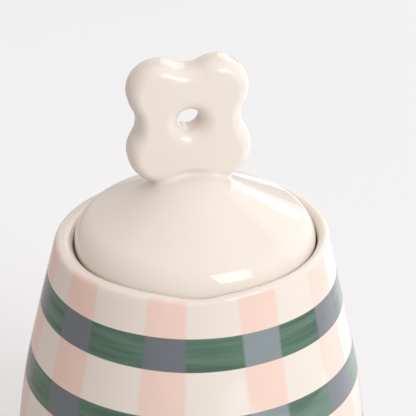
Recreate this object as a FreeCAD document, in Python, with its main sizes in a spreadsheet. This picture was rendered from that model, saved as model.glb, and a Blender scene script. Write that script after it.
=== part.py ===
"""Lidded stoneware storage jar: a full-bellied pot and a domed lid with a flower knob.

Millimetres, +Z up. The origin is the middle of the foot, on the surface the jar stands on.
The pot is one thrown piece. The lid and its pierced, four-petalled knob are one piece too;
the lid rests on a ledge inside the mouth. -Y is the side that the knob's face looks at.
"""
import FreeCAD, Part
import Sketcher
import os
from math import asin, atan2, cos, hypot, radians, sin, sqrt, tan

V = FreeCAD.Vector

SIZES = {
    # the pot's outside
    "jar_height": 148.0,       # foot to the crest of the lip
    "belly_radius": 69.6,
    "belly_height": 45.0,      # where the pot is widest
    "upper_arc": 257.0,        # radius of the wall's curve above the belly
    "upper_sweep": 12.4,       # degrees of that curve; the wall runs on straight to the lip
    "lower_arc": 110.0,        # the fuller curve below the belly
    "base_corner": 12.0,
    "foot_height": 2.0,
    "foot_inset": 1.5,         # from the end of the base corner to the foot ring
    "foot_width": 5.0,
    "foot_recess": 1.6,        # how far the underside is set up inside the ring
    "foot_round": 0.7,
    # its wall, floor and mouth
    "wall": 5.5,
    "floor": 6.5,
    "inner_corner": 9.0,
    "mouth_shift": 1.4,        # the inside was thrown this far off the outside's middle
    "lip_width": 5.6,
    "lip_outer_round": 1.8,
    "lip_inner_round": 2.6,
    "seat_depth": 7.0,         # crest of the lip to the ledge that carries the lid
    "seat_width": 4.6,
    "seat_nose": 3.0,          # thickness of the ledge at its inner edge
    "seat_round": 0.8,
    # the lid
    "lid_play": 0.4,           # all round, between the lid's widest line and the mouth
    "lid_drop": 2.4,           # crest of the lip to the lid's widest line
    "lid_shoulder": 12.6,      # radius of the lid's rolled edge
    "dome_rise": 25.8,         # crest of the lip to the top of the dome
    "crown_radius": 36,
    "lid_wall": 6.0,
    "skirt_play": 1.2,         # all round, between the skirt and the ledge
    "skirt_wall": 4.5,
    "skirt_depth": 7.0,
    "skirt_round": 1.2,
    "skirt_root": 4.0,         # radius inside, where the skirt meets the dome
    # the flower knob
    "petal_spread": 11.3,      # middle of the hole to the middles of the petals, sideways
    "petal_rise": 11.9,        # and upwards
    "petal_radius": 12.3,
    "root_drop": 13.2,         # down to the middles of the two lower petals
    "root_radius": 12.8,
    "notch_radius": 11.4,      # the hollows between the petals
    "knob_thickness": 13.4,
    "knob_round": 3.2,         # rolled outer edge
    "hole_radius": 4.4,
    "hole_flare": 3.4,
    "knob_press": 0.5,         # how deep the lower petals are pressed into the dome
    "knob_shift_x": -1.8,      # the knob was set on by hand, a little off the middle
    "knob_shift_y": 5.3,
    "knob_tilt": 1.2,          # degrees; its right-hand side is the higher one
    "joint_round": 2.2,        # the clay worked smooth round the knob's root
}

doc = FreeCAD.newDocument("StorageJar")
sheet = doc.addObject("Spreadsheet::Sheet", "Sizes")
for row, (alias, value) in enumerate(SIZES.items(), start=1):
    sheet.set(f"A{row}", alias)
    sheet.set(f"B{row}", str(value))
    sheet.setAlias(f"B{row}", alias)
doc.recompute()

TOUCHING = 0.02                # mm, closer than this counts as lying on a surface


def size(alias):
    """The number in a named cell."""
    return float(sheet.get(alias))


def origin_item(body, role):
    """One of a body's own origin planes or axes."""
    return next(item for item in body.Origin.OriginFeatures if item.Role == role)


class Outline:
    """A closed outline in a body's XZ plane: lines and arcs, each joined to the next."""

    def __init__(self, body, name, start=None):
        self.sketch = body.newObject("Sketcher::SketchObject", name)
        self.sketch.AttachmentSupport = [(origin_item(body, "XZ_Plane"), "")]
        self.sketch.MapMode = "FlatFace"
        self.at = start
        self.pieces = []       # of each piece: its number, its first end and its last end

    def line(self, x, y):
        """A straight piece from where the outline has come to."""
        piece = Part.LineSegment(V(*self.at, 0), V(x, y, 0))
        number = self.sketch.addGeometry(piece, False)
        self.pieces.append((number, 1, 2))
        self.at = (x, y)
        return number

    def arc(self, centre, x, y, clockwise=False):
        """An arc round a centre to the point (x, y)."""
        first = atan2(self.at[1] - centre[1], self.at[0] - centre[0])
        last = atan2(y - centre[1], x - centre[0])
        radius = hypot(x - centre[0], y - centre[1])
        ends = (1, 2)
        if clockwise:
            first, last = last, first
            ends = (2, 1)
        circle = Part.Circle(V(*centre, 0), V(0, 0, 1), radius)
        number = self.sketch.addGeometry(Part.ArcOfCircle(circle, first, last), False)
        self.pieces.append((number, *ends))
        self.at = (x, y)
        return number

    def rule(self, kind, *items):
        """A geometric constraint."""
        return self.sketch.addConstraint(Sketcher.Constraint(kind, *items))

    def close(self, smooth):
        """Joins every piece to the next. Those numbered in smooth leave tangentially."""
        following = self.pieces[1:] + self.pieces[:1]
        for (number, _, last), (after, first, _) in zip(self.pieces, following):
            kind = "Tangent" if number in smooth else "Coincident"
            self.rule(kind, number, last, after, first)

    def upright(self, *numbers):
        for number in numbers:
            self.rule("Vertical", number)

    def level(self, *numbers):
        for number in numbers:
            self.rule("Horizontal", number)

    def radius(self, number, to):
        """An arc's radius, tied to the sheet."""
        now = self.sketch.Geometry[number].Radius
        self.tie(self.rule("Radius", number, now), to)

    def across(self, number, end, to, other=(-1, 1)):
        """Sideways distance of a point from the axis, or from another point."""
        now = self.sketch.getPoint(number, end).x - self.sketch.getPoint(*other).x
        self.tie(self.rule("DistanceX", *other, number, end, now), to)

    def height(self, number, end, to, other=(-1, 1)):
        """Height of a point over the base line, or over another point."""
        now = self.sketch.getPoint(number, end).y - self.sketch.getPoint(*other).y
        self.tie(self.rule("DistanceY", *other, number, end, now), to)

    def tie(self, constraint, to):
        self.sketch.setExpression(f"Constraints[{constraint}]", to)


START, END, CENTRE = 1, 2, 3           # the points of a line or an arc
ORIGIN = (-1, 1)
BASE_LINE, AXIS = -1, -2


def turned(body, outline, kind, name):
    """A Revolution or a Groove of an outline, right round the upright axis."""
    doc.recompute()
    feature = body.newObject(kind, name)
    feature.Profile = outline.sketch
    feature.ReferenceAxis = (outline.sketch, ["V_Axis"])
    feature.Angle = 360
    doc.recompute()
    return feature


def is_circle(edge):
    """Whether an edge is a circle; the dome's very top is an edge with no length."""
    return not edge.Degenerated and isinstance(edge.Curve, Part.Circle)


def ring_edges(shape, wanted):
    """Names of the round edges that lie at the wanted (radius, height) places."""
    names = []
    for number, edge in enumerate(shape.Edges, start=1):
        box = edge.BoundBox
        if box.ZLength > TOUCHING or not is_circle(edge):
            continue
        place = (edge.Curve.Radius, box.ZMin)
        if any(hypot(place[0] - r, place[1] - z) < TOUCHING for r, z in wanted):
            names.append(f"Edge{number}")
    assert len(names) >= len(wanted), f"edges missing near {wanted}"
    return names


def rounded(body, base, name, alias, names):
    """A fillet whose radius is a cell of the sheet."""
    fillet = body.newObject("PartDesign::Fillet", name)
    fillet.Base = (base, names)
    fillet.setExpression("Radius", f"Sizes.{alias}")
    doc.recompute()
    return fillet


def meeting(centre, radius, other, other_radius, side):
    """Where two circles cross, on the given side of the line between their centres."""
    gap = hypot(other[0] - centre[0], other[1] - centre[1])
    along = (gap ** 2 + radius ** 2 - other_radius ** 2) / (2 * gap)
    off = side * sqrt(radius ** 2 - along ** 2)
    ux = (other[0] - centre[0]) / gap
    uy = (other[1] - centre[1]) / gap
    return centre[0] + along * ux - off * uy, centre[1] + along * uy + off * ux


def toward(centre, point, distance):
    """The place at a distance from the centre, on the way to a point."""
    length = hypot(point[0] - centre[0], point[1] - centre[1])
    step = distance / length
    return centre[0] + step * (point[0] - centre[0]), centre[1] + step * (point[1] - centre[1])


# ---------------------------------------------------------------- the pot
# The wall is one smooth line: full below the belly, a long curve above it, then straight
# up to the lip.

def wall_curves(inset):
    """Centres and radii of the wall's two arcs, and where it turns straight.

    All are set in by inset from the outside.
    """
    belly = size("belly_radius")
    sweep = radians(size("upper_sweep"))
    low = (belly - size("lower_arc"), size("belly_height"))
    up = (belly - size("upper_arc"), size("belly_height"))
    up_radius = size("upper_arc") - inset
    joint = (up[0] + up_radius * cos(sweep), up[1] + up_radius * sin(sweep))
    return low, size("lower_arc") - inset, up, joint


def shoulder_radius(inset, height):
    """Radius of the straight part of the wall at a height."""
    joint = wall_curves(inset)[3]
    return joint[0] - (height - joint[1]) * tan(radians(size("upper_sweep")))


def corner_arc(low, low_radius, corner, floor):
    """Centre of the rounded corner between a flat floor and the wall, and where it ends."""
    height = floor + corner
    reach = low_radius - corner
    centre = (low[0] + sqrt(reach ** 2 - (low[1] - height) ** 2), height)
    return centre, toward(low, centre, low_radius)


def draw_wall(outline, inset, corner, floor, top):
    """The corner, the wall's two arcs and its straight part, drawn upwards."""
    low, low_radius, up, joint = wall_curves(inset)
    corner_centre, corner_end = corner_arc(low, low_radius, corner, floor)
    return (
        outline.arc(corner_centre, *corner_end),
        outline.arc(low, size("belly_radius") - inset, size("belly_height")),
        outline.arc(up, *joint),
        outline.line(shoulder_radius(inset, top), top),
    )


def tie_wall(outline, pieces, inset, corner):
    """Ties the wall's arcs to the sheet. inset is an expression, such as Sizes.wall."""
    base, low, up, _ = pieces
    outline.radius(base, corner)
    outline.radius(low, f"Sizes.lower_arc - {inset}")
    outline.radius(up, f"Sizes.upper_arc - {inset}")
    outline.across(low, END, f"Sizes.belly_radius - {inset}")
    outline.height(low, END, "Sizes.belly_height")
    outline.height(up, CENTRE, "Sizes.belly_height")
    outline.height(up, END, f"Sizes.belly_height + (Sizes.upper_arc - {inset}) * {SIN_SWEEP}")


SIN_SWEEP = "sin(Sizes.upper_sweep * 1 deg)"
COS_SWEEP = "cos(Sizes.upper_sweep * 1 deg)"
MOUTH = ("(Sizes.belly_radius - Sizes.upper_arc * (1 - " + COS_SWEEP + ")"
         " - (Sizes.jar_height - Sizes.belly_height - Sizes.upper_arc * " + SIN_SWEEP + ")"
         " * " + SIN_SWEEP + " / " + COS_SWEEP + " - Sizes.lip_width)")
lip_radius = shoulder_radius(0, size("jar_height"))
mouth_radius = lip_radius - size("lip_width")

jar = doc.addObject("PartDesign::Body", "jar")
jar.Label = "jar"

floor_line = size("foot_height")
corner_x = corner_arc(*wall_curves(0)[:2], size("base_corner"), floor_line)[0][0]
foot_outer = corner_x - size("foot_inset")
foot_inner = foot_outer - size("foot_width")
recess = size("foot_recess")

blank = Outline(jar, "PotOutside", (0, recess))
underside = blank.line(foot_inner, recess)
ring_inside = blank.line(foot_inner, 0)
ring_sole = blank.line(foot_outer, 0)
ring_outside = blank.line(foot_outer, floor_line)
shelf = blank.line(corner_x, floor_line)
wall = draw_wall(blank, 0, size("base_corner"), floor_line, size("jar_height"))
top_line = blank.line(0, size("jar_height"))
middle = blank.line(0, recess)
blank.close(smooth=(shelf, *wall[:3]))
blank.level(underside, ring_sole, shelf, top_line)
blank.upright(ring_inside, ring_outside, middle)
blank.rule("PointOnObject", middle, END, AXIS)
blank.rule("PointOnObject", ring_sole, START, BASE_LINE)
tie_wall(blank, wall, inset="0", corner="Sizes.base_corner")
blank.height(middle, END, "Sizes.foot_recess")
blank.height(shelf, END, "Sizes.foot_height")
blank.height(top_line, START, "Sizes.jar_height")
blank.across(shelf, END, "Sizes.foot_inset", other=(shelf, START))
blank.across(ring_sole, END, "Sizes.foot_width", other=(ring_sole, START))
pot = turned(jar, blank, "PartDesign::Revolution", "Pot")

# The hollow follows the outside at one wall's distance. The ledge for the lid is left
# standing under the mouth; its underside slopes so that it can be thrown and trimmed.
crest = size("jar_height")
seat = crest - size("seat_depth")
ledge_radius = mouth_radius - size("seat_width")
nose = seat - size("seat_nose")
lean = tan(radians(size("upper_sweep")))
turn_x, turn_z = wall_curves(size("wall"))[3]
slope_foot = (nose + ledge_radius - turn_x - turn_z * lean) / (1 - lean)

floor = size("floor")
floor_edge = corner_arc(*wall_curves(size("wall"))[:2], size("inner_corner"), floor)[0][0]
hollow = Outline(jar, "PotHollow", (0, floor))
hollow.sketch.AttachmentOffset = FreeCAD.Placement(V(size("mouth_shift"), 0, 0),
                                                   FreeCAD.Rotation())
hollow.sketch.setExpression("AttachmentOffset.Base.x", "Sizes.mouth_shift")
bottom = hollow.line(floor_edge, floor)
inside = draw_wall(hollow, size("wall"), size("inner_corner"), floor, slope_foot)
slope = hollow.line(ledge_radius, nose)
ledge_nose = hollow.line(ledge_radius, seat)
ledge = hollow.line(mouth_radius, seat)
mouth = hollow.line(mouth_radius, crest)
opening = hollow.line(0, crest)
middle = hollow.line(0, floor)
hollow.close(smooth=(bottom, *inside[:3]))
hollow.level(bottom, ledge, opening)
hollow.upright(ledge_nose, mouth, middle)
hollow.rule("PointOnObject", middle, END, AXIS)
tie_wall(hollow, inside, inset="Sizes.wall", corner="Sizes.inner_corner")
hollow.height(bottom, START, "Sizes.floor")
hollow.height(opening, END, "Sizes.jar_height")
hollow.height(ledge, END, "Sizes.jar_height - Sizes.seat_depth")
hollow.height(ledge_nose, END, "Sizes.seat_nose", other=(ledge_nose, START))
hollow.across(mouth, END, MOUTH)
hollow.across(ledge, END, "Sizes.seat_width", other=(ledge, START))
hollow.rule("Angle", slope, radians(135))
hollowed = turned(jar, hollow, "PartDesign::Groove", "Hollow")
assert hollowed.Shape.Volume < pot.Shape.Volume, "the hollow was not cut"

skin = rounded(jar, hollowed, "LipOutside", "lip_outer_round",
               ring_edges(hollowed.Shape, [(lip_radius, crest)]))
skin = rounded(jar, skin, "LipInside", "lip_inner_round",
               ring_edges(skin.Shape, [(mouth_radius, crest)]))
skin = rounded(jar, skin, "LedgeEdges", "seat_round",
               ring_edges(skin.Shape, [(ledge_radius, seat), (ledge_radius, nose)]))
skin = rounded(jar, skin, "FootEdges", "foot_round",
               ring_edges(skin.Shape, [(foot_outer, 0), (foot_inner, 0)]))

# ---------------------------------------------------------------- the lid
# One section, turned: dome outside, rolled edge, flat seat, skirt, and the dome's hollow.
# Its base line is the ledge that it rests on.

lid_body = doc.addObject("PartDesign::Body", "LidBody")
lid_radius = mouth_radius - size("lid_play")
widest = size("seat_depth") - size("lid_drop")
apex = size("seat_depth") + size("dome_rise")
roll = size("lid_shoulder")
roll_centre = (lid_radius - roll, widest)
crown = size("crown_radius")
crown_centre = (0, apex - crown)
span = hypot(roll_centre[0], crown_centre[1] - roll_centre[1])
flank = atan2(crown_centre[1] - roll_centre[1], roll_centre[0]) - asin((roll - crown) / span)
skirt_outer = ledge_radius - size("skirt_play")
skirt_inner = skirt_outer - size("skirt_wall")
inner_crown = crown - size("lid_wall")


def on(centre, radius, angle):
    """The point of a circle whose outward direction leans by angle from upright."""
    return centre[0] + radius * sin(angle), centre[1] + radius * cos(angle)


under_end = on(crown_centre, inner_crown, flank)
under_drop = (skirt_inner - under_end[0]) * sin(flank) / cos(flank)
dome = Outline(lid_body, "LidSection", (0, apex))
top = dome.arc(crown_centre, *on(crown_centre, crown, flank), clockwise=True)
side = dome.line(*on(roll_centre, roll, flank))
edge = dome.arc(roll_centre, roll_centre[0] + sqrt(roll ** 2 - widest ** 2), 0, clockwise=True)
seat_face = dome.line(skirt_outer, 0)
skirt_outside = dome.line(skirt_outer, -size("skirt_depth"))
skirt_end = dome.line(skirt_inner, -size("skirt_depth"))
skirt_inside = dome.line(skirt_inner, under_end[1] - under_drop)
under_side = dome.line(*under_end)
under_top = dome.arc(crown_centre, 0, apex - size("lid_wall"))
middle = dome.line(0, apex)
dome.close(smooth=(top, side, under_side))
dome.level(seat_face, skirt_end)
dome.upright(skirt_outside, skirt_inside, middle)
dome.rule("Parallel", side, under_side)
dome.rule("PointOnObject", middle, END, AXIS)
dome.rule("PointOnObject", top, CENTRE, AXIS)
dome.rule("Coincident", top, CENTRE, under_top, CENTRE)
dome.rule("PointOnObject", seat_face, START, BASE_LINE)
dome.radius(top, "Sizes.crown_radius")
dome.radius(under_top, "Sizes.crown_radius - Sizes.lid_wall")
dome.radius(edge, "Sizes.lid_shoulder")
dome.height(middle, END, "Sizes.seat_depth + Sizes.dome_rise")
dome.height(edge, CENTRE, "Sizes.seat_depth - Sizes.lid_drop")
dome.across(edge, CENTRE, MOUTH + " - Sizes.lid_play - Sizes.lid_shoulder")
dome.across(skirt_outside, START, MOUTH + " - Sizes.seat_width - Sizes.skirt_play")
dome.across(skirt_end, START, "Sizes.skirt_wall", other=(skirt_end, END))
dome.height(skirt_outside, START, "Sizes.skirt_depth", other=(skirt_outside, END))
plain_lid = turned(lid_body, dome, "PartDesign::Revolution", "Lid")

skirt_root = dome.sketch.getPoint(skirt_inside, END)
skirt_foot = -size("skirt_depth")
plain_lid = rounded(lid_body, plain_lid, "SkirtRoot", "skirt_root",
                    ring_edges(plain_lid.Shape, [(skirt_root.x, skirt_root.y)]))
plain_lid = rounded(lid_body, plain_lid, "SkirtEdges", "skirt_round",
                    ring_edges(plain_lid.Shape,
                               [(skirt_outer, skirt_foot), (skirt_inner, skirt_foot)]))

# ---------------------------------------------------------------- the flower knob
# Four petals round a hole, cut like a thick biscuit and rolled over at every edge. Each
# hollow between two petals is an arc that runs smoothly into both.

flower = doc.addObject("PartDesign::Body", "Flower")
petals = [
    ((size("petal_spread"), size("petal_rise")), size("petal_radius")),
    ((-size("petal_spread"), size("petal_rise")), size("petal_radius")),
    ((-size("petal_spread"), -size("root_drop")), size("root_radius")),
    ((size("petal_spread"), -size("root_drop")), size("root_radius")),
]
PETAL_TIES = [
    ("Sizes.petal_spread", "Sizes.petal_rise", "Sizes.petal_radius"),
    ("-Sizes.petal_spread", "Sizes.petal_rise", "Sizes.petal_radius"),
    ("-Sizes.petal_spread", "-Sizes.root_drop", "Sizes.root_radius"),
    ("Sizes.petal_spread", "-Sizes.root_drop", "Sizes.root_radius"),
]
notch = size("notch_radius")
notches = []
for place, (centre, radius) in enumerate(petals):
    after, after_radius = petals[(place + 1) % len(petals)]
    notches.append(meeting(centre, radius + notch, after, after_radius + notch, side=-1))

quatrefoil = Outline(flower, "Quatrefoil")
quatrefoil.at = toward(petals[0][0], notches[-1], petals[0][1])
petal_numbers = []
notch_numbers = []
for place, (centre, radius) in enumerate(petals):
    after, after_radius = petals[(place + 1) % len(petals)]
    end = toward(centre, notches[place], radius)
    petal_numbers.append(quatrefoil.arc(centre, *end))
    end = toward(after, notches[place], after_radius)
    notch_numbers.append(quatrefoil.arc(notches[place], *end, clockwise=True))
quatrefoil.close(smooth=petal_numbers + notch_numbers)
for number, (across, height, radius) in zip(petal_numbers, PETAL_TIES):
    quatrefoil.across(number, CENTRE, across)
    quatrefoil.height(number, CENTRE, height)
    quatrefoil.radius(number, radius)
for number in notch_numbers:
    quatrefoil.radius(number, "Sizes.notch_radius")
doc.recompute()

slab = flower.newObject("PartDesign::Pad", "Slab")
slab.Profile = quatrefoil.sketch
slab.SideType = "Symmetric"
slab.setExpression("Length", "Sizes.knob_thickness")
doc.recompute()


def face_edges(shape):
    """Names of the edges that bound the slab's front and back."""
    half = size("knob_thickness") / 2
    names = []
    for number, edge in enumerate(shape.Edges, start=1):
        box = edge.BoundBox
        if box.YLength < TOUCHING and abs(abs(box.YMin) - half) < TOUCHING:
            names.append(f"Edge{number}")
    return names


rolled = rounded(flower, slab, "RolledEdge", "knob_round", face_edges(slab.Shape))

hole = flower.newObject("Sketcher::SketchObject", "HoleCircle")
hole.AttachmentSupport = [(origin_item(flower, "XZ_Plane"), "")]
hole.MapMode = "FlatFace"
hole.addGeometry(Part.Circle(V(0, 0, 0), V(0, 0, 1), size("hole_radius")), False)
hole.addConstraint(Sketcher.Constraint("Coincident", 0, CENTRE, *ORIGIN))
hole_tie = hole.addConstraint(Sketcher.Constraint("Radius", 0, size("hole_radius")))
hole.setExpression(f"Constraints[{hole_tie}]", "Sizes.hole_radius")
doc.recompute()
pierced = flower.newObject("PartDesign::Pocket", "Hole")
pierced.Profile = hole
pierced.Type = "ThroughAll"
pierced.Midplane = True
doc.recompute()
assert pierced.Shape.Volume < rolled.Shape.Volume, "the hole was not cut"
mouths = []
for number, rim in enumerate(pierced.Shape.Edges, start=1):
    round_rim = is_circle(rim) and rim.BoundBox.YLength < TOUCHING
    if round_rim and abs(rim.Curve.Radius - size("hole_radius")) < TOUCHING:
        mouths.append(f"Edge{number}")
flared = rounded(flower, pierced, "HoleFlare", "hole_flare", mouths)

# The lower petals are pressed into the dome's flank, so the knob's height follows the dome.
ROLL_X = "(" + MOUTH + " - Sizes.lid_play - Sizes.lid_shoulder)"
ROLL_Z = "(Sizes.seat_depth - Sizes.lid_drop)"
CROWN_Z = "(Sizes.seat_depth + Sizes.dome_rise - Sizes.crown_radius)"
FLANK = (f"(atan2({CROWN_Z} - {ROLL_Z}; {ROLL_X})"
         f" - asin((Sizes.lid_shoulder - Sizes.crown_radius)"
         f" / sqrt(({CROWN_Z} - {ROLL_Z}) ^ 2 + {ROLL_X} ^ 2)))")
REACH = "sqrt((Sizes.petal_spread - Sizes.knob_shift_x) ^ 2 + Sizes.knob_shift_y ^ 2)"
SURFACE = f"({ROLL_Z} + Sizes.lid_shoulder / cos({FLANK}) + ({ROLL_X} - {REACH}) * tan({FLANK}))"
flower.setExpression("Placement.Base.x", "Sizes.knob_shift_x")
flower.setExpression("Placement.Base.y", "Sizes.knob_shift_y")
flower.setExpression("Placement.Base.z", SURFACE + " - Sizes.knob_press + Sizes.root_drop"
                     " + Sizes.root_radius")
flower.Placement.Rotation = FreeCAD.Rotation(V(0, -1, 0), 1)
flower.setExpression("Placement.Rotation.Angle", "Sizes.knob_tilt * 1 deg")
doc.recompute()

# ---------------------------------------------------------------- lid and knob, one piece

one_piece = doc.addObject("Part::MultiFuse", "LidAndKnob")
one_piece.Shapes = [lid_body, flower]
doc.recompute()


def lies_on(edge, shape):
    """Whether an edge runs along a solid's skin."""
    if edge.Degenerated:
        return False
    skin = Part.Compound(shape.Faces)
    first, last = edge.ParameterRange
    for share in (0.2, 0.5, 0.8):
        point = Part.Vertex(edge.valueAt(first + share * (last - first)))
        if skin.distToShape(point)[0] > TOUCHING:
            return False
    return True


joint = []
for number, seam in enumerate(one_piece.Shape.Edges, start=1):
    if lies_on(seam, lid_body.Shape) and lies_on(seam, flower.Shape):
        joint.append(number)
assert joint, "the knob does not meet the lid"
print("edges of the joint:", len(joint))

lid = doc.addObject("Part::Fillet", "lid")
lid.Label = "lid"
lid.Base = one_piece
lid.Edges = [(number, size("joint_round"), size("joint_round")) for number in joint]
lid.setExpression("Placement.Base.x", "Sizes.mouth_shift")
lid.setExpression("Placement.Base.z", "Sizes.jar_height - Sizes.seat_depth")
doc.recompute()

# ---------------------------------------------------------------- checks, then the files
for item in doc.Objects:
    bad = {"Invalid", "Error"} & set(item.State)
    assert not bad, f"{item.Name}: {item.State}"
os.makedirs("parts", exist_ok=True)
for node in (jar, lid):
    shape = node.Shape
    assert not shape.isNull() and shape.isValid(), node.Label
    assert len(shape.Solids) == 1, f"{node.Label} is {len(shape.Solids)} solids"
    box = shape.BoundBox
    print(node.Label, f"{shape.Volume / 1000:.1f} cc", [round(n, 2) for n in
          (box.XMin, box.XMax, box.YMin, box.YMax, box.ZMin, box.ZMax)])
    shape.exportStep(f"parts/{node.Label}.step")
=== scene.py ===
# %% [markdown]
# # A lidded stoneware jar with a flower knob
# The real jar was thrown on a wheel: a full belly, walls that close in towards the mouth, and
# a ledge inside the lip that carries the lid. The lid was turned too, and its knob is a thick
# clay flower, pierced in the middle and pressed on by hand. Nearly everything is covered with
# a warm white glaze, and the jar is painted with green bands and soft pink stripes that
# cross them.
# Lengths are in metres, +Z is up, and the jar stands on z = 0.

from math import atan2, cos, pi, radians, sin, sqrt, tan

import bpy
import numpy as np
from mathutils import Euler, Matrix, Vector


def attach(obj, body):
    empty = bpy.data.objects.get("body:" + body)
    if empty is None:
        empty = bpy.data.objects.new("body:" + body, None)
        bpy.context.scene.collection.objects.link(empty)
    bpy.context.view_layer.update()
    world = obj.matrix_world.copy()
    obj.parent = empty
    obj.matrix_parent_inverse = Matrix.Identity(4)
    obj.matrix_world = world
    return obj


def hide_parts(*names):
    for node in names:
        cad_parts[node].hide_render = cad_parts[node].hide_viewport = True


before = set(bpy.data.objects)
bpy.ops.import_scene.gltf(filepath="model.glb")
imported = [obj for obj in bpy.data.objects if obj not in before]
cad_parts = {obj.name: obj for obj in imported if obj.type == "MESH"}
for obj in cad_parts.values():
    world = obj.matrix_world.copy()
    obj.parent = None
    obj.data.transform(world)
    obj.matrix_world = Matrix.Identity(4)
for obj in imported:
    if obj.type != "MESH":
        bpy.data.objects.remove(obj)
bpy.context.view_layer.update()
MM = 0.001

# %% [markdown]
# ## Sizes
# These are the jar's sizes in millimetres, named as a potter would name them. The same shapes
# are in the CAD model; here they are the starting point for finer surfaces.

# %% Sizes
JAR = dict(height=148.0, belly=69.6, belly_height=45.0, upper_arc=257.0, upper_sweep=12.4,
           lower_arc=110.0, corner=12.0, foot_height=2.0, foot_inset=1.5, foot_width=5.0,
           recess=1.6, foot_round=0.7, wall=5.5, floor=6.5, inner_corner=9.0,
           mouth=47.49, mouth_shift=1.4, lip_out=1.9, lip_in=3.4, seat_depth=7.0,
           seat_width=4.6, seat_nose=3.0, seat_round=0.8)
LID = dict(play=0.4, drop=2.4, roll=12.6, rise=25.8, crown=36.0, wall=6.0, skirt_play=1.2,
           skirt=4.5, skirt_depth=7.0, skirt_round=1.2, skirt_root=4.0)
KNOB = dict(spread=11.3, rise=11.9, petal=12.3, drop=13.2, root=12.8, notch=11.4,
            thick=13.4, round=3.2, lean=4.8, soft=5.6, hole=4.4, flare=3.4, press=0.5,
            x=-1.8, y=5.3, tilt=1.2)
print("jar", JAR["height"], "high; knob", KNOB["thick"], "thick")


# %% [markdown]
# ## Profiles made of arcs
# A thrown pot is one outline spun round its middle. The outline is drawn as short bows, each
# an arc with a centre and a radius, so a bow that starts where the last one ended, in the same
# direction, gives a curve with no kink.

# %% Drawing with bows
def bow(centre, radius, start, stop, step=0.8):
    """Points of an arc: centre + radius * (cos a, sin a), for angles a from start to stop."""
    count = max(3, int(abs(stop - start) * radius / step) + 2)
    turn = np.linspace(start, stop, count)
    return np.stack([centre[0] + radius * np.cos(turn), centre[1] + radius * np.sin(turn)], 1)


def straight(first, last, step=1.6):
    """Evenly spaced points from first to last."""
    count = max(2, int(np.hypot(last[0] - first[0], last[1] - first[1]) / step) + 2)
    share = np.linspace(0, 1, count)[:, None]
    return np.array(first) * (1 - share) + np.array(last) * share


def join_up(*parts):
    """One list of points from several, with repeats dropped."""
    points = np.concatenate(parts)
    keep = np.ones(len(points), bool)
    keep[1:] = np.linalg.norm(np.diff(points, axis=0), axis=1) > 0.01
    return points[keep]


def direction(centre, point):
    """The angle at which point is seen from centre."""
    return atan2(point[1] - centre[1], point[0] - centre[0])


# %% [markdown]
# ## Surfaces from grids
# Every turned surface is a grid: one number runs along the outline and one runs round the
# axis. The two ends of the outline lie on the axis, where the grid closes in a fan.

# %% Turning an outline
def add_mesh(name, points, faces):
    """A mesh object from points in millimetres and faces given as lists of point numbers."""
    mesh = bpy.data.meshes.new(name)
    mesh.from_pydata((np.asarray(points) * MM).tolist(), [], faces)
    mesh.validate()
    piece = bpy.data.objects.new(name, mesh)
    bpy.context.scene.collection.objects.link(piece)
    mesh.polygons.foreach_set("use_smooth", np.ones(len(mesh.polygons), bool))
    return piece


def turned(name, outline, columns, wobble, drift, lift):
    """Point(i, a) = (r * cos a + drift(i), r * sin a, z + lift(i) * wave(a)), where (r, z) is
    point i of the outline, and wobble(a, z) changes r. The two ends are single points."""
    rows = outline[1:-1]
    turn = np.arange(columns) * 2 * pi / columns
    radius = rows[:, :1] + wobble(turn[None, :], rows[:, 1:]) * np.clip(rows[:, :1] / 20, 0, 1)
    x = radius * np.cos(turn) + drift[1:-1, None]
    y = radius * np.sin(turn)
    z = rows[:, 1:] + lift[1:-1, None] * rim_wave(turn)[None, :]
    grid = np.stack([x, y, z], 2).reshape(-1, 3)
    start = len(grid)
    ends = [[drift[0], 0, outline[0, 1]], [drift[-1], 0, outline[-1, 1]]]
    points = np.concatenate([grid, ends])
    number = np.arange(start).reshape(len(rows), columns)
    after = np.roll(number, -1, axis=1)
    quads = np.stack([number[:-1], after[:-1], after[1:], number[1:]], 2).reshape(-1, 4)
    first_fan = np.stack([np.full(columns, start), after[0], number[0]], 1)
    last_fan = np.stack([np.full(columns, start + 1), number[-1], after[-1]], 1)
    faces = quads.tolist() + first_fan.tolist() + last_fan.tolist()
    return add_mesh(name, points, faces)


# %% [markdown]
# ## The jar's outline
# It starts under the foot, goes round the foot ring, up the outside, over the lip, down past
# the ledge that carries the lid, and down the inside to the floor. Below the belly one arc
# fills out the base; above it a short curve runs into a long, nearly straight shoulder.

# %% The jar
def wall_curves(inset):
    """Centres and radii of the wall's two arcs, and where it turns straight."""
    sweep = radians(JAR["upper_sweep"])
    low = (JAR["belly"] - JAR["lower_arc"], JAR["belly_height"])
    up = (JAR["belly"] - JAR["upper_arc"], JAR["belly_height"])
    radius = JAR["upper_arc"] - inset
    joint = (up[0] + radius * cos(sweep), up[1] + radius * sin(sweep))
    return (low, JAR["lower_arc"] - inset), (up, radius), joint


def shoulder(inset, height):
    """The point of the straight shoulder at a height."""
    joint = wall_curves(inset)[2]
    return joint[0] - (height - joint[1]) * tan(radians(JAR["upper_sweep"])), height


def base_arc(low, radius, corner, floor):
    """Centre of the corner that joins a flat floor to the wall's lowest arc."""
    rise = floor + corner - low[1]
    return low[0] + sqrt((radius - corner) ** 2 - rise ** 2), floor + corner


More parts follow.
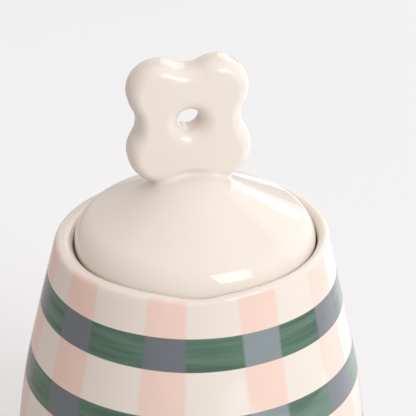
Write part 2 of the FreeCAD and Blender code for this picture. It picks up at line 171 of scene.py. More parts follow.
def pot_outline():
    """The whole section of the pot as points (radius, height), and for each point how far
    it belongs to the inside, from 0 to 1."""
    sweep = radians(JAR["upper_sweep"])
    (low, low_r), (up, up_r), joint = wall_curves(0)
    corner = base_arc(low, low_r, JAR["corner"], JAR["foot_height"])
    ring_out = corner[0] - JAR["foot_inset"]
    ring_in = ring_out - JAR["foot_width"]
    edge = JAR["foot_round"]
    lip_z = JAR["height"] - JAR["lip_out"]
    lip = (shoulder(JAR["lip_out"], lip_z)[0], lip_z)
    outside = join_up(
        straight((0, JAR["recess"]), (ring_in - 0.4, JAR["recess"])),
        straight((ring_in, JAR["recess"] - 0.4), (ring_in, edge), 0.5),
        bow((ring_in + edge, edge), edge, pi, 1.5 * pi, 0.25),
        bow((ring_out - edge, edge), edge, 1.5 * pi, 2 * pi, 0.25),
        straight((ring_out, edge), (ring_out, JAR["foot_height"] - 0.4), 0.5),
        straight((ring_out + 0.4, JAR["foot_height"]), (corner[0], JAR["foot_height"]), 0.5),
        bow(corner, JAR["corner"], -pi / 2, direction(low, corner)),
        bow(low, low_r, direction(low, corner), 0, 1.2),
        bow(up, up_r, 0, sweep, 1.2),
        straight(joint, shoulder(0, lip_z - 0.4), 1.2),
        bow(lip, JAR["lip_out"], sweep, pi / 2, 0.3))
    (low, low_r), (up, up_r), joint = wall_curves(JAR["wall"])
    seat = JAR["height"] - JAR["seat_depth"]
    ledge = JAR["mouth"] - JAR["seat_width"]
    nose = seat - JAR["seat_nose"]
    roll = JAR["seat_round"]
    slope_end = nose - 6.2
    corner = base_arc(low, low_r, JAR["inner_corner"], JAR["floor"])
    inner_lip = (JAR["mouth"] + JAR["lip_in"], JAR["height"] - JAR["lip_in"])
    inside = join_up(
        bow(inner_lip, JAR["lip_in"], pi / 2, pi, 0.3),
        straight((JAR["mouth"], inner_lip[1]), (JAR["mouth"], seat + 0.8), 0.6),
        bow((JAR["mouth"] - 0.8, seat + 0.8), 0.8, 0, -pi / 2, 0.25),
        bow((ledge + roll, seat - roll), roll, pi / 2, pi, 0.25),
        bow((ledge + roll, nose + roll), roll, pi, 1.25 * pi, 0.25),
        straight((ledge + 1.6, nose - 1.6), (ledge + 5.2, slope_end + 1.0), 0.6),
        straight(shoulder(JAR["wall"], slope_end - 1.2), joint, 1.6),
        bow(up, up_r, sweep, 0, 1.6),
        bow(low, low_r, 0, direction(low, corner), 1.6),
        bow(corner, JAR["inner_corner"], direction(low, corner), -pi / 2),
        straight((corner[0], JAR["floor"]), (0, JAR["floor"]), 2.4))
    points = join_up(outside, inside)
    travel = np.concatenate([[0], np.cumsum(np.linalg.norm(np.diff(points, axis=0), axis=1))])
    crest = travel[len(outside) - 1]
    belongs = np.clip((travel - crest + 5.0) / 10.0, 0, 1)
    return points, belongs ** 2 * (3 - 2 * belongs)


def hand_thrown(turn, height):
    """Small departures from a true circle: two slow swells that shift with height."""
    swell = 0.16 * np.sin(2 * turn + height / 90) + 0.10 * np.sin(3 * turn - height / 60 + 1)
    return swell * np.clip(height / 30, 0, 1)


def rim_wave(turn):
    """How far the rim rises or dips: it leans a little and sags where it was cut last."""
    way = np.degrees(turn) + 100

    def swell(middle, width):
        away = (way - middle + 180) % 360 - 180
        return np.exp(-(away / width) ** 2)

    return (1.3 * np.sin(np.radians(way)) - 1.25 * swell(2, 12) + 0.65 * swell(-33, 17)
            + 0.3 * swell(32, 15))


def smooth(low, high, value):
    """0 below low, 1 above high, and an even slope between that starts and ends level."""
    share = np.clip((value - low) / (high - low), 0, 1)
    return share ** 2 * (3 - 2 * share)


outline, inner = pot_outline()
heights = outline[:, 1]
lift = np.where(inner < 0.5, smooth(112, 148, heights), smooth(141.6, 147, heights))
jar = turned("jar_body", outline, 270, hand_thrown, inner * JAR["mouth_shift"], lift)
print("jar outline points:", len(outline), "faces:", len(jar.data.polygons))

# %% [markdown]
# ## The lid and its flower as one body
# The potter presses the knob on and wipes slip round its root, so lid and flower run into
# each other with no edge. A turned grid can't give that, so the lid is described by a
# depth: a number for every place, negative inside the clay and zero on its skin. Two bodies
# join where their depths are blended, and the blend's reach is the size of the wiped joint.

# %% Depth of the lid's plain parts
SEAT = JAR["height"] - JAR["seat_depth"]
LID_RADIUS = JAR["mouth"] - LID["play"]
ROLL_CENTRE = (LID_RADIUS - LID["roll"], JAR["seat_depth"] - LID["drop"])
CROWN_CENTRE = (0.0, JAR["seat_depth"] + LID["rise"] - LID["crown"])
SPAN = np.hypot(ROLL_CENTRE[0], CROWN_CENTRE[1] - ROLL_CENTRE[1])
FLANK = (atan2(CROWN_CENTRE[1] - ROLL_CENTRE[1], ROLL_CENTRE[0])
         - np.arcsin((LID["roll"] - LID["crown"]) / SPAN))
SKIRT_OUT = JAR["mouth"] - JAR["seat_width"] - LID["skirt_play"]
SKIRT_IN = SKIRT_OUT - LID["skirt"]


def soft_cut(a, b, reach):
    """Depth of what two bodies share, its edge rolled over with radius reach."""
    u = np.maximum(reach + a, 0)
    v = np.maximum(reach + b, 0)
    return np.minimum(-reach, np.maximum(a, b)) + np.hypot(u, v)


def soft_join(a, b, reach):
    """Depth of two bodies together, their inner corner filled with radius reach."""
    u = np.maximum(reach - a, 0)
    v = np.maximum(reach - b, 0)
    return np.maximum(reach, np.minimum(a, b)) - np.hypot(u, v)


def dome_depth(r, z, rolled=True):
    """Height over the dome's skin: a crown arc, a straight flank, then the rolled edge."""
    lean = np.array([sin(FLANK), cos(FLANK)])
    start = np.array(CROWN_CENTRE) + LID["crown"] * lean
    end = np.array(ROLL_CENTRE) + LID["roll"] * lean
    length = float(np.linalg.norm(end - start))
    along = (r - start[0]) * lean[1] - (z - start[1]) * lean[0]
    flank = (r - start[0]) * lean[0] + (z - start[1]) * lean[1]
    crown = np.hypot(r, z - CROWN_CENTRE[1]) - LID["crown"]
    depth = np.where(along < 0, crown, flank)
    if rolled:
        edge = np.hypot(r - ROLL_CENTRE[0], z - ROLL_CENTRE[1]) - LID["roll"]
        depth = np.where(along > length, edge, depth)
    return depth


def plain_lid_depth(x, y, z):
    """Depth of the lid without its knob; z is counted from the ledge it rests on."""
    r = np.hypot(x, y)
    outside = soft_cut(dome_depth(r, z), -z, 0.5)
    half = LID["skirt"] / 2 - LID["skirt_round"]
    across = np.abs(r - SKIRT_OUT + LID["skirt"] / 2) - half
    below = -z - LID["skirt_depth"] + LID["skirt_round"]
    skirt = (np.hypot(np.maximum(across, 0), np.maximum(below, 0))
             + np.minimum(np.maximum(across, below), 0) - LID["skirt_round"])
    skirt = np.maximum(skirt, z - 4)
    body = soft_join(outside, skirt, 0.8)
    hollow = soft_cut(dome_depth(r, z, rolled=False) + LID["wall"], r - SKIRT_IN,
                      LID["skirt_root"])
    return np.maximum(body, -hollow)


# %% [markdown]
# ## The flower
# Four round petals stand at the corners of an upright oblong, and the hollows between them
# are arcs that touch two petals each. The front edges were smoothed with a wet finger into a
# deep quarter of an ellipse, and the back edges got a small round, so the flower looks like a
# cushion from the front. The hole was pushed through while the clay was soft, which turned
# its edges inwards in a wide flare.

# %% Depth of the flower
PETALS = [((KNOB["spread"], KNOB["rise"]), KNOB["petal"]),
          ((-KNOB["spread"], KNOB["rise"]), KNOB["petal"]),
          ((-KNOB["spread"], -KNOB["drop"]), KNOB["root"]),
          ((KNOB["spread"], -KNOB["drop"]), KNOB["root"])]


def notch_between(first, second):
    """Centre of the arc, outside the flower, that touches two neighbouring petals."""
    (a, a_radius), (b, b_radius) = first, second
    a, b = np.array(a), np.array(b)
    gap = np.linalg.norm(b - a)
    reach_a = a_radius + KNOB["notch"]
    reach_b = b_radius + KNOB["notch"]
    along = (gap ** 2 + reach_a ** 2 - reach_b ** 2) / (2 * gap)
    ahead = (b - a) / gap
    outward = np.array([ahead[1], -ahead[0]])
    return a + along * ahead + sqrt(reach_a ** 2 - along ** 2) * outward


NOTCHES = [notch_between(PETALS[i], PETALS[(i + 1) % 4]) for i in range(4)]


def outline_depth(u, w):
    """Depth inside the flower's outline: the nearest of its eight arcs decides."""
    best = np.full(u.shape, 1e3)
    for i in range(4):
        petal, radius = PETALS[i]
        ends = [NOTCHES[i - 1], NOTCHES[i]]
        best = nearer(best, u, w, petal, ends, radius, 1.0, inward=False)
        ends = [PETALS[i][0], PETALS[(i + 1) % 4][0]]
        best = nearer(best, u, w, NOTCHES[i], ends, KNOB["notch"], -1.0, inward=True)
    return best


def nearer(best, u, w, centre, ends, radius, sign, inward):
    """The smaller of best and the distance to one arc, seen from the arc's own centre."""
    first = np.array(ends[0]) - centre
    last = np.array(ends[1]) - centre
    first, last = first / np.linalg.norm(first), last / np.linalg.norm(last)
    middle = first + last
    if not inward and middle @ np.array(centre) < 0:
        middle = -middle
    middle = middle / np.linalg.norm(middle)
    wide = min(first @ middle, last @ middle)
    du, dw = u - centre[0], w - centre[1]
    far = np.hypot(du, dw)
    inside = du * middle[0] + dw * middle[1] >= (wide - 1e-6) * far
    away = sign * (far - radius)
    return np.where(inside & (np.abs(away) < np.abs(best)), away, best)


REACH = np.hypot(KNOB["spread"] - KNOB["x"], KNOB["y"])
KNOB_HEIGHT = (ROLL_CENTRE[1] + LID["roll"] / cos(FLANK) + (ROLL_CENTRE[0] - REACH) * tan(FLANK)
               - KNOB["press"] + KNOB["drop"] + KNOB["root"])


def flower_depth(x, y, z):
    """Depth of the knob: the outline made thick, its edges rolled, and the flared hole.
    Towards the front the side is a quarter of an ellipse, half the knob's thickness deep."""
    tilt = radians(KNOB["tilt"])
    dx, dz = x - KNOB["x"], z - KNOB_HEIGHT
    u = dx * cos(tilt) + dz * sin(tilt)
    w = -dx * sin(tilt) + dz * cos(tilt)
    v = y - KNOB["y"]
    half = KNOB["thick"] / 2
    face = np.abs(v) - half
    outline = outline_depth(u, w)
    edge, side = outline + KNOB["round"], face + KNOB["round"]
    back = (np.hypot(np.maximum(edge, 0), np.maximum(side, 0))
            + np.minimum(np.maximum(edge, side), 0) - KNOB["round"])
    lean = np.maximum(outline / KNOB["lean"] + 1, 0)
    deep = np.abs(v) / half
    reach = np.hypot(lean, deep)
    rate = np.hypot(lean, deep * KNOB["lean"] / half) / np.maximum(reach, 0.05)
    front = KNOB["lean"] * (reach - 1) / np.maximum(rate, 0.3)
    cushion = np.where(v < 0, front, back)
    hole = KNOB["hole"] - np.hypot(u, w)
    flare = np.where(v < 0, KNOB["soft"], KNOB["flare"])
    return np.maximum(cushion, soft_cut(face, hole, flare))


def joint_reach(x, y, z):
    """The wiped joint is broad in front of the flower and narrow at its sides and back."""
    front = np.clip((KNOB["y"] - y) / 8, 0, 1)
    return 1.8 + 1.0 * front


def lid_depth(x, y, z):
    """Depth of the whole lid."""
    return soft_join(plain_lid_depth(x, y, z), flower_depth(x, y, z), joint_reach(x, y, z))


# %% [markdown]
# ## A skin on a depth
# The space round the lid is cut into small cubes. Each cube that the skin passes through
# gets one point, and points of neighbouring cubes are joined to four-sided faces. Then every
# point slides along the steepest way until its depth is zero, which makes the skin exact.

# %% Laying the skin
def steepest(depth, points, gap=0.02):
    """Direction and rate in which the depth grows at each point."""
    slopes = []
    for axis in range(3):
        shift = np.zeros(3)
        shift[axis] = gap
        ahead = depth(*(points + shift).T)
        behind = depth(*(points - shift).T)
        slopes.append((ahead - behind) / (2 * gap))
    return np.stack(slopes, 1)


def skin(depth, low, high, step):
    """A closed mesh on the places where depth is zero, between two corners of a box."""
    axes = [np.arange(a, b + step, step) for a, b in zip(low, high)]
    size = [len(axis) for axis in axes]
    field = np.empty(size)
    for i, x in enumerate(axes[0]):
        y, z = np.meshgrid(axes[1], axes[2], indexing="ij")
        field[i] = depth(np.full(y.shape, x), y, z)
    solid = field < 0
    count = np.zeros([n - 1 for n in size])
    total = np.zeros([n - 1 for n in size] + [3])
    corners = [(i, j, k) for i in (0, 1) for j in (0, 1) for k in (0, 1)]
    for first in corners:
        for axis in range(3):
            if first[axis]:
                continue
            last = list(first)
            last[axis] = 1
            a = corner_of(field, first)
            b = corner_of(field, last)
            crossed = (a < 0) != (b < 0)
            share = np.where(crossed, a / np.where(crossed, a - b, 1), 0)
            place = np.zeros(a.shape + (3,)) + np.array(first)
            place[..., axis] += share
            total += place * crossed[..., None]
            count += crossed
    cells = np.argwhere(count > 0)
    number = np.full(count.shape, -1)
    number[tuple(cells.T)] = np.arange(len(cells))
    middle = total[tuple(cells.T)] / count[tuple(cells.T)][:, None]
    points = np.array(low) + (cells + middle) * step
    faces = []
    for axis in range(3):
        faces.append(faces_across(solid, number, axis))
    faces = np.concatenate(faces)
    for _ in range(6):
        slope = steepest(depth, points)
        square = np.maximum((slope ** 2).sum(1), 0.05)
        move = -depth(*points.T)[:, None] * slope / square[:, None]
        length = np.linalg.norm(move, axis=1, keepdims=True)
        points = points + move * np.minimum(1, 0.5 * step / np.maximum(length, 1e-9))
    slope = steepest(depth, points)
    slope /= np.linalg.norm(slope, axis=1, keepdims=True)
    return points, faces, slope


def corner_of(field, corner):
    """The field's values at one corner of every cube."""
    cut = tuple(slice(c, field.shape[axis] - 1 + c) for axis, c in enumerate(corner))
    return field[cut]


def faces_across(solid, number, axis):
    """Four-sided faces that cross the grid's edges along one axis, facing outwards."""
    one, two = (axis + 1) % 3, (axis + 2) % 3
    cut = [slice(None)] * 3
    cut[axis] = slice(0, -1)
    ahead = [slice(None)] * 3
    ahead[axis] = slice(1, None)
    edges = np.argwhere(solid[tuple(cut)] != solid[tuple(ahead)])
    inner = (edges[:, one] > 0) & (edges[:, two] > 0)
    edges = edges[inner]
    leaving = solid[tuple(edges.T)]
    ring = []
    for step_one, step_two in ((0, 0), (1, 0), (1, 1), (0, 1)):
        cell = edges.copy()
        cell[:, one] -= step_one
        cell[:, two] -= step_two
        cell = np.minimum(cell, np.array(number.shape) - 1)
        ring.append(number[tuple(cell.T)])
    quads = np.stack(ring, 1)
    quads[~leaving] = quads[~leaving][:, ::-1]
    return quads[(quads >= 0).all(1)]


step = 0.64
points, faces, slope = skin(lid_depth, (-48, -48, -8.5), (48, 48, 83), step)
points[:, 0] += JAR["mouth_shift"]
points[:, 2] += SEAT
lid = add_mesh("lid_body", points, faces.tolist())
lid.data.normals_split_custom_set_from_vertices(slope.tolist())
print("lid points:", len(points), "faces:", len(faces))

# %% [markdown]
# ## Helpers for shader nodes
# Colours are written as the eye sees them, from 0 to 255, and turned into the linear values
# that Blender mixes light with.

# %% Node helpers
def paint(red, green, blue):
    """A linear colour from the three numbers a colour picker shows."""
    seen = np.array([red, green, blue]) / 255
    linear = np.where(seen <= 0.04045, seen / 12.92, ((seen + 0.055) / 1.055) ** 2.4)
    return (*linear.tolist(), 1.0)


def put(value, socket, tree):
    """Sets a socket to a constant, or links another socket to it."""
    if isinstance(value, bpy.types.NodeSocket):
        tree.links.new(value, socket)
    else:
        socket.default_value = value


def sums(tree, kind, *values):
    """A Math node; returns its output."""
    node = tree.nodes.new("ShaderNodeMath")
    node.operation = kind
    for value, socket in zip(values, node.inputs):
        put(value, socket, tree)
    return node.outputs[0]


def mix(tree, share, first, second):
    """A colour Mix node; returns its output."""
    node = tree.nodes.new("ShaderNodeMix")
    node.data_type = "RGBA"
    put(share, node.inputs[0], tree)
    put(first, node.inputs[6], tree)
    put(second, node.inputs[7], tree)
    return node.outputs[2]


def ramp(tree, value, low, high):
    """0 below low and 1 above high, with a soft slope between."""
    node = tree.nodes.new("ShaderNodeMapRange")
    node.interpolation_type = "SMOOTHSTEP"
    put(value, node.inputs[0], tree)
    put(low, node.inputs[1], tree)
    put(high, node.inputs[2], tree)
    return node.outputs[0]


def noise(tree, place, scale, detail=2.0, stretch=(1.0, 1.0, 1.0)):
    """Soft noise from 0 to 1. Stretch below 1 draws it out along that axis."""
    map_node = tree.nodes.new("ShaderNodeMapping")
    put(place, map_node.inputs["Vector"], tree)
    map_node.inputs["Scale"].default_value = stretch
    node = tree.nodes.new("ShaderNodeTexNoise")
    tree.links.new(map_node.outputs[0], node.inputs["Vector"])
    node.inputs["Scale"].default_value = scale
    node.inputs["Detail"].default_value = detail
    return node.outputs[0]


def new_group(name, inputs, outputs):
    """An empty shader group. inputs are name: default, and a default may be a colour."""
    tree = bpy.data.node_groups.new(name, "ShaderNodeTree")
    for label, default in inputs.items():
        kind = "NodeSocketFloat"
        if not isinstance(default, float):
            kind = "NodeSocketVector" if len(default) == 3 else "NodeSocketColor"
        tree.interface.new_socket(label, in_out="INPUT", socket_type=kind)
    for label, kind in outputs.items():
        tree.interface.new_socket(label, in_out="OUTPUT", socket_type=kind)
    start = tree.nodes.new("NodeGroupInput")
    end = tree.nodes.new("NodeGroupOutput")
    for item in tree.interface.items_tree:
        if item.in_out == "INPUT":
            item.default_value = inputs[item.name]
    return tree, start.outputs, end.inputs


def use(tree, group, **values):
    """Places a group in a tree; returns its outputs."""
    node = tree.nodes.new("ShaderNodeGroup")
    node.node_tree = group
    for name, value in values.items():
        put(value, node.inputs[name.replace("_", " ")], tree)
    return node.outputs


# %% [markdown]
# ## Brushwork
# The decorator turned the jar on a wheel and held the brush still, which gave level bands
# with crisp edges and faint streaks that run round the pot. The pink was then washed on in
# upright strokes, by eye, so the strokes differ in width, drift to one side and have soft
# edges. Where the pink crosses the green, the two glazes melt into a greyed blue.

# %% Groups for the brushwork
def band_group():
    """Mask of one level band: Depth millimetres down from Top, with edges that sway a little."""
    tree, given, result = new_group(
        "Brushed Band",
        {"Place": (0.0, 0.0, 0.0), "Height": 0.0, "Top": 0.0, "Depth": 13.0},
        {"Mask": "NodeSocketFloat"})
    sway = noise(tree, given["Place"], 22.0, 1.0, stretch=(1.0, 1.0, 0.4))
    sway = sums(tree, "MULTIPLY", sums(tree, "SUBTRACT", sway, 0.5), 1.3)
    below = sums(tree, "SUBTRACT", given["Top"], given["Height"])
    below = sums(tree, "ADD", below, sway)
    enter = ramp(tree, below, -0.22, 0.22)
    leave = ramp(tree, sums(tree, "SUBTRACT", below, given["Depth"]), -0.22, 0.22)
    put(sums(tree, "MULTIPLY", enter, sums(tree, "SUBTRACT", 1.0, leave)), result["Mask"], tree)
    return tree


def stroke_group():
    """Mask of one upright stroke: a direction in degrees, a width, and how far it drifts."""
    tree, given, result = new_group(
        "Upright Stroke",
        {"Place": (0.0, 0.0, 0.0), "Turn": 0.0, "Height": 0.0, "Middle": 0.0,
         "Width": 15.0, "Drift": 0.0},
        {"Mask": "NodeSocketFloat"})
    lower = sums(tree, "DIVIDE", sums(tree, "SUBTRACT", 133.0, given["Height"]), 133.0)
    middle = sums(tree, "ADD", given["Middle"], sums(tree, "MULTIPLY", lower, given["Drift"]))
    away = sums(tree, "SUBTRACT", given["Turn"], middle)
    away = sums(tree, "WRAP", away, 180.0, -180.0)
    sway = noise(tree, given["Place"], 30.0, 2.0, stretch=(1.0, 1.0, 0.35))
    sway = sums(tree, "MULTIPLY", sums(tree, "SUBTRACT", sway, 0.5), 3.4)
    away = sums(tree, "ABSOLUTE", sums(tree, "ADD", away, sway))
    edge = sums(tree, "SUBTRACT", sums(tree, "MULTIPLY", given["Width"], 0.5), away)
    put(ramp(tree, edge, -0.9, 0.9), result["Mask"], tree)
    return tree


def glaze_group():
    """Slow changes of tone in a glaze, and the ripple of its surface."""
    tree, given, result = new_group(
        "Glaze Tone",
        {"Place": (0.0, 0.0, 0.0), "Colour": (0.8, 0.8, 0.8, 1.0),
         "Thin": (0.7, 0.7, 0.7, 1.0)},
        {"Colour": "NodeSocketColor", "Ripple": "NodeSocketFloat"})
    cloud = noise(tree, given["Place"], 24.0, 3.0)
    colour = mix(tree, sums(tree, "MULTIPLY", ramp(tree, cloud, 0.35, 0.75), 0.22),
                 given["Colour"], given["Thin"])
    put(colour, result["Colour"], tree)
    slow = noise(tree, given["Place"], 38.0, 2.0)
    put(slow, result["Ripple"], tree)
    return tree


BAND = band_group()
STROKE = stroke_group()
GLAZE = glaze_group()

# %% [markdown]
# ## Glazes
# The same warm white covers jar and lid, a little thinner and browner in soft patches. It is
# glossy, with a faint ripple like orange peel that bends the reflections. The
# surfaces that touch others in the kiln stay bare: the sole of the foot, the ledge in the
# mouth, and the lid's seat.

# %% Colours and places of the paint
WHITE = paint(235, 228, 220)
THIN = paint(230, 218, 204)
GREEN = paint(96, 129, 112)
GREEN_DARK = paint(70, 100, 86)
PINK = paint(239, 212, 201)
GREYED = paint(103, 107, 117)
GREYED_PALE = paint(140, 151, 157)
CLAY = paint(198, 178, 152)
BANDS = (133.1, 101.7, 70.3, 38.9)
STROKES = ((-60.3, 16.4, 0.0, 0.2), (-20.3, 16.4, -2.4, 0.15), (17.9, 15.6, 1.6, 1.0),
           (53.6, 16.0, 2.6, 0.2), (91.0, 15.0, 1.2, 0.5), (126.5, 15.6, -1.5, 0.1),
           (163.0, 14.6, 1.0, 0.6), (-161.0, 16.0, -1.0, 0.9), (-127.0, 14.8, 1.3, 0.3),
           (-92.0, 16.0, 0.0, 0.1))
GLOSSY, DULL = 0.045, 0.745
PAINT_TOP = 148.4
LIP_CREST = 51.6
LEDGE_OUT = 49.0
SEAT_IN = 40.2
print("bands:", len(BANDS), "strokes:", len(STROKES))


# %% [markdown]
# Bands are given by the height of their upper edge. A stroke has the direction of its
# middle, its width, how far it drifts towards the foot, and how pale it turns the green it
# crosses. Every place is worked out from the point's own height, its distance from the
# jar's axis, and its direction from there.

# %% What both glazes share
def start_material(name):
    """A glazed material; returns it, its tree, its main shader and the object coordinates."""
    material = bpy.data.materials.new(name)
    material.use_nodes = True
    tree = material.node_tree
    shader = tree.nodes["Principled BSDF"]
    shader.inputs["IOR"].default_value = 1.5
    place = tree.nodes.new("ShaderNodeTexCoord").outputs["Object"]
    return material, tree, shader, place


def measures(tree, place):
    """Height and distance from the axis in millimetres, and direction in degrees from -Y."""
    parts = tree.nodes.new("ShaderNodeSeparateXYZ")
    put(place, parts.inputs[0], tree)
    x, y, z = parts.outputs
    height = sums(tree, "MULTIPLY", z, 1000.0)
    square = sums(tree, "ADD", sums(tree, "POWER", x, 2.0), sums(tree, "POWER", y, 2.0))
    across = sums(tree, "MULTIPLY", sums(tree, "SQRT", square), 1000.0)
    turn = sums(tree, "ARCTAN2", x, sums(tree, "MULTIPLY", y, -1.0))
    return height, across, sums(tree, "MULTIPLY", turn, 180 / pi)


def up_to(tree, value, limit):
    """1 up to a limit, and 0 past it."""
    return sums(tree, "SUBTRACT", 1.0, ramp(tree, value, limit, limit + 0.2))


def near_seat(tree, height):
    """1 within a fraction of a millimetre of the level where the lid meets its ledge."""
    above = ramp(tree, height, SEAT - 0.4, SEAT - 0.2)
    return sums(tree, "MULTIPLY", above, up_to(tree, height, SEAT + 0.2))


def add_ripple(tree, shader, ripple):
    """The faint unevenness of a glaze, as a bump."""
    bump = tree.nodes.new("ShaderNodeBump")
    bump.inputs["Strength"].default_value = 0.35
    bump.inputs["Distance"].default_value = 0.0004
    put(ripple, bump.inputs["Height"], tree)
    put(bump.outputs[0], shader.inputs["Normal"], tree)


def leave_bare(tree, shader, colour, bare):
    """The colour where glazed, dull pale clay where the glaze was wiped off before firing."""
    put(mix(tree, bare, colour, CLAY), shader.inputs["Base Color"], tree)
    dull = sums(tree, "ADD", sums(tree, "MULTIPLY", bare, DULL - GLOSSY), GLOSSY)
    put(dull, shader.inputs["Roughness"], tree)


# %% The painted jar
def painted_masks(tree, place):
    """Where bands and strokes lie, both ending at the lip, and how pale each crossing is."""
    height, across, turn = measures(tree, place)
    bands = 0.0
    for top in BANDS:
        mask = use(tree, BAND, Place=place, Height=height, Top=top)["Mask"]
        bands = sums(tree, "MAXIMUM", bands, mask)
    strokes, load = 0.0, 0.0
    for middle, width, drift, thickness in STROKES:
        mask = use(tree, STROKE, Place=place, Turn=turn, Height=height, Middle=middle,
                   Width=width, Drift=drift)["Mask"]
        strokes = sums(tree, "MAXIMUM", strokes, mask)
        load = sums(tree, "MAXIMUM", load, sums(tree, "MULTIPLY", mask, thickness))
    under_lip = ramp(tree, sums(tree, "SUBTRACT", PAINT_TOP, height), 0.0, 1.0)
    strokes = sums(tree, "MULTIPLY", strokes, under_lip)
    outside = ramp(tree, sums(tree, "SUBTRACT", across, LIP_CREST), 0.0, 0.6)
    outside = sums(tree, "MULTIPLY", outside, ramp(tree, height, 3.0, 5.0))
    bands = sums(tree, "MULTIPLY", bands, outside)
    return bands, sums(tree, "MULTIPLY", strokes, outside), load


def bare_on_jar(tree, place):
    """The unglazed places: the sole of the foot ring, and the ledge in the mouth."""
    height, across, _ = measures(tree, place)
    sole = up_to(tree, height, 0.5)
    ledge = sums(tree, "MULTIPLY", near_seat(tree, height), up_to(tree, across, LEDGE_OUT))
    return sums(tree, "MAXIMUM", sole, ledge)


def painted_glaze():
    """White glaze with green bands and pink strokes on the outside, bare clay at the foot."""
    material, tree, shader, place = start_material("painted_glaze")
    glaze = use(tree, GLAZE, Place=place, Colour=WHITE, Thin=THIN)
    bands, strokes, load = painted_masks(tree, place)
    streak = noise(tree, place, 60.0, 3.0, stretch=(0.35, 0.35, 6.0))
    patch = noise(tree, place, 17.0, 2.0)
    thick = sums(tree, "ADD", sums(tree, "MULTIPLY", streak, 0.6),
                 sums(tree, "MULTIPLY", patch, 0.4))
    green = mix(tree, ramp(tree, thick, 0.38, 0.66), GREEN, GREEN_DARK)
    wash = sums(tree, "MULTIPLY", strokes, ramp(tree, noise(tree, place, 14.0, 2.0), 0.0, 0.45))
    base = mix(tree, wash, glaze["Colour"], PINK)
    crossing = sums(tree, "MULTIPLY", strokes, 0.9)
    greyed = mix(tree, load, GREYED, GREYED_PALE)
    painted = mix(tree, bands, base, mix(tree, crossing, green, greyed))
    leave_bare(tree, shader, painted, bare_on_jar(tree, place))
    add_ripple(tree, shader, glaze["Ripple"])
    return material


# %% The lid's glaze
def plain_glaze():
    """The lid's white glaze, bare where it sits on the ledge."""
    material, tree, shader, place = start_material("plain_glaze")
    glaze = use(tree, GLAZE, Place=place, Colour=WHITE, Thin=THIN)
    height, across, _ = measures(tree, place)
    rim = ramp(tree, across, SEAT_IN, SEAT_IN + 0.2)
    leave_bare(tree, shader, glaze["Colour"], sums(tree, "MULTIPLY", rim, near_seat(tree, height)))
    add_ripple(tree, shader, glaze["Ripple"])
    return material


# %% [markdown]
# ## Both pieces take their places
# The painted jar and the white lid stand in for the two plain CAD pieces, and both belong to
# the one body, since the lid only rests in the mouth.

# %% Glazes and bodies
jar.data.materials.append(painted_glaze())
lid.data.materials.append(plain_glaze())
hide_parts("jar")
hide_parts("lid")
for piece in (jar, lid):
    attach(piece, "root")
print("materials:", jar.data.materials[0].name, lid.data.materials[0].name)

# %% [markdown]
# ## The table
# The jar stands on a pale table that runs out into brightness on the right, where the light
# comes from. The sheet ends a little to the right of the jar, because a glossy pot shows its
# whole room: past the edge the glaze mirrors the side screen instead. Seen directly the
# table is almost white all over. To the glaze it is painted darker on the left, as painted
# shade, and on the right it glows with painted light that stands in for the light the
# screens would throw on it.

# %% The table
TABLE = dict(left=-1.4, right=0.42, near=-1.0, far=1.6)
BLACK = (0.0, 0.0, 0.0, 1.0)
BOUNCE = (0.52, 0.54, 0.60, 1.0)
FAINT_COOL = (0.022, 0.036, 0.050, 1.0)


def floor_sheet():
    """A flat sheet that takes the jar's shadow."""
    left, right, near, far = TABLE.values()
    points = [(left, near, 0), (right, near, 0), (right, far, 0), (left, far, 0)]
    mesh = bpy.data.meshes.new("table")
    mesh.from_pydata(points, [], [(0, 1, 2, 3)])
    table = bpy.data.objects.new("table", mesh)
    bpy.context.scene.collection.objects.link(table)
    material = bpy.data.materials.new("pale_table")
    material.use_nodes = True
    tree = material.node_tree
    shader = tree.nodes["Principled BSDF"]
    shader.inputs["Roughness"].default_value = 0.8
    parts = tree.nodes.new("ShaderNodeSeparateXYZ")
    put(tree.nodes.new("ShaderNodeTexCoord").outputs["Object"], parts.inputs[0], tree)
    to_right = parts.outputs["X"]
    lit_side = ramp(tree, to_right, -0.25, 0.3)
    # As the glaze and the light it throws back see it, the table is painted darker on the left:
    # painted shade.
    painted_shade_to_glaze = mix(tree, lit_side, paint(190, 186, 184), paint(235, 235, 235))
    plain = mix(tree, lit_side, paint(247, 249, 250), paint(233, 235, 237))
    seen = tree.nodes.new("ShaderNodeLightPath").outputs["Is Camera Ray"]
    put(mix(tree, seen, painted_shade_to_glaze, plain), shader.inputs["Base Color"], tree)
    # The table's right part glows: painted light that stands in for the light the screens would
    # throw on it.
    bounce = mix(tree, ramp(tree, to_right, 0.10, 0.24), BLACK, BOUNCE)
    glow = mix(tree, seen, bounce, FAINT_COOL)
    put(glow, shader.inputs["Emission Color"], tree)
    shader.inputs["Emission Strength"].default_value = 1.0
    table.data.materials.append(material)
    return table


table = floor_sheet()
print("table:", TABLE)

# %% [markdown]
# ## Light
# One window in front on the right lights the jar and leaves the bright oblong on the lid's
# shoulder. A broad screen on the right and a small one further behind light the right side
# and give the rim its shine. A soft ceiling and pale walls fill the shadows. Behind the
# table's edge the eye sees a paler wall than the one that lights the jar.

# %% Lamps and room
JAR_MIDDLE = Vector((0, 0, 0.12))


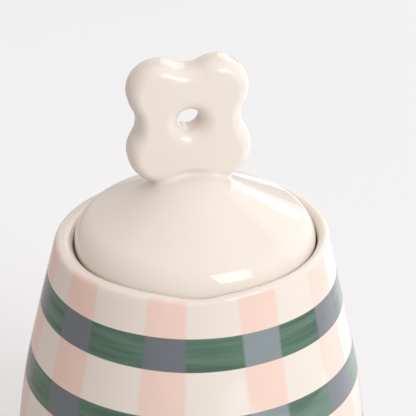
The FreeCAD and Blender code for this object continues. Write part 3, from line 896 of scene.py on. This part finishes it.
def around(turn, height, distance):
    """A place round the jar: turn from -Y towards +X and height, both in degrees."""
    flat = cos(radians(height))
    way = Vector((sin(radians(turn)) * flat, -cos(radians(turn)) * flat, sin(radians(height))))
    return JAR_MIDDLE + way * distance


def lamp(name, place, width, tall, power, colour=(1, 1, 1)):
    """A soft rectangular light at a place, turned to shine at the jar's middle."""
    data = bpy.data.lights.new(name, "AREA")
    data.shape = "RECTANGLE"
    data.size = width
    data.size_y = tall
    data.energy = power
    data.color = colour
    light = bpy.data.objects.new(name, data)
    light.location = place
    light.rotation_euler = (place - JAR_MIDDLE).to_track_quat("Z", "Y").to_euler()
    light.visible_camera = False
    bpy.context.scene.collection.objects.link(light)
    return light


COOL = (0.97, 0.99, 1.0)
lamp("window", around(28.5, 34, 1.4), 0.76, 0.82, 9.0, COOL)
lamp("side_screen", around(121, 12, 1.1), 1.17, 1.4, 3.7, COOL)
lamp("back_screen", around(152, 28, 1.1), 0.5, 0.6, 1.1, COOL)
lamp("ceiling", around(0, 88, 1.5), 1.6, 1.6, 3.1)
world = bpy.data.worlds.new("pale_room")
bpy.context.scene.world = world
world.use_nodes = True
tree = world.node_tree
back = tree.nodes["Background"]
seen = tree.nodes.new("ShaderNodeLightPath").outputs["Is Camera Ray"]
put(mix(tree, seen, paint(248, 238, 233), paint(243, 242, 243)), back.inputs["Color"], tree)
put(sums(tree, "ADD", sums(tree, "MULTIPLY", seen, 0.34), 0.66), back.inputs["Strength"], tree)
print("lamps:", [light.name for light in bpy.data.lights])

# %% [markdown]
# ## Camera
# A long lens from a little above looks down on the lid, from slightly left of the knob's
# front, and leaves the foot out of the picture.

# %% Camera
data = bpy.data.cameras.new("camera")
data.lens = 295.2
data.sensor_width = 36.0
camera = bpy.data.objects.new("camera", data)
camera.location = (-0.2034, -1.1536, 0.7760)
look = Euler((radians(62.242), 0, radians(-10.309))).to_matrix()
camera.rotation_euler = (look @ Matrix.Rotation(radians(0.1025), 3, "Z")).to_euler()
bpy.context.scene.collection.objects.link(camera)
bpy.context.scene.camera = camera
bpy.context.scene.view_settings.view_transform = "Standard"
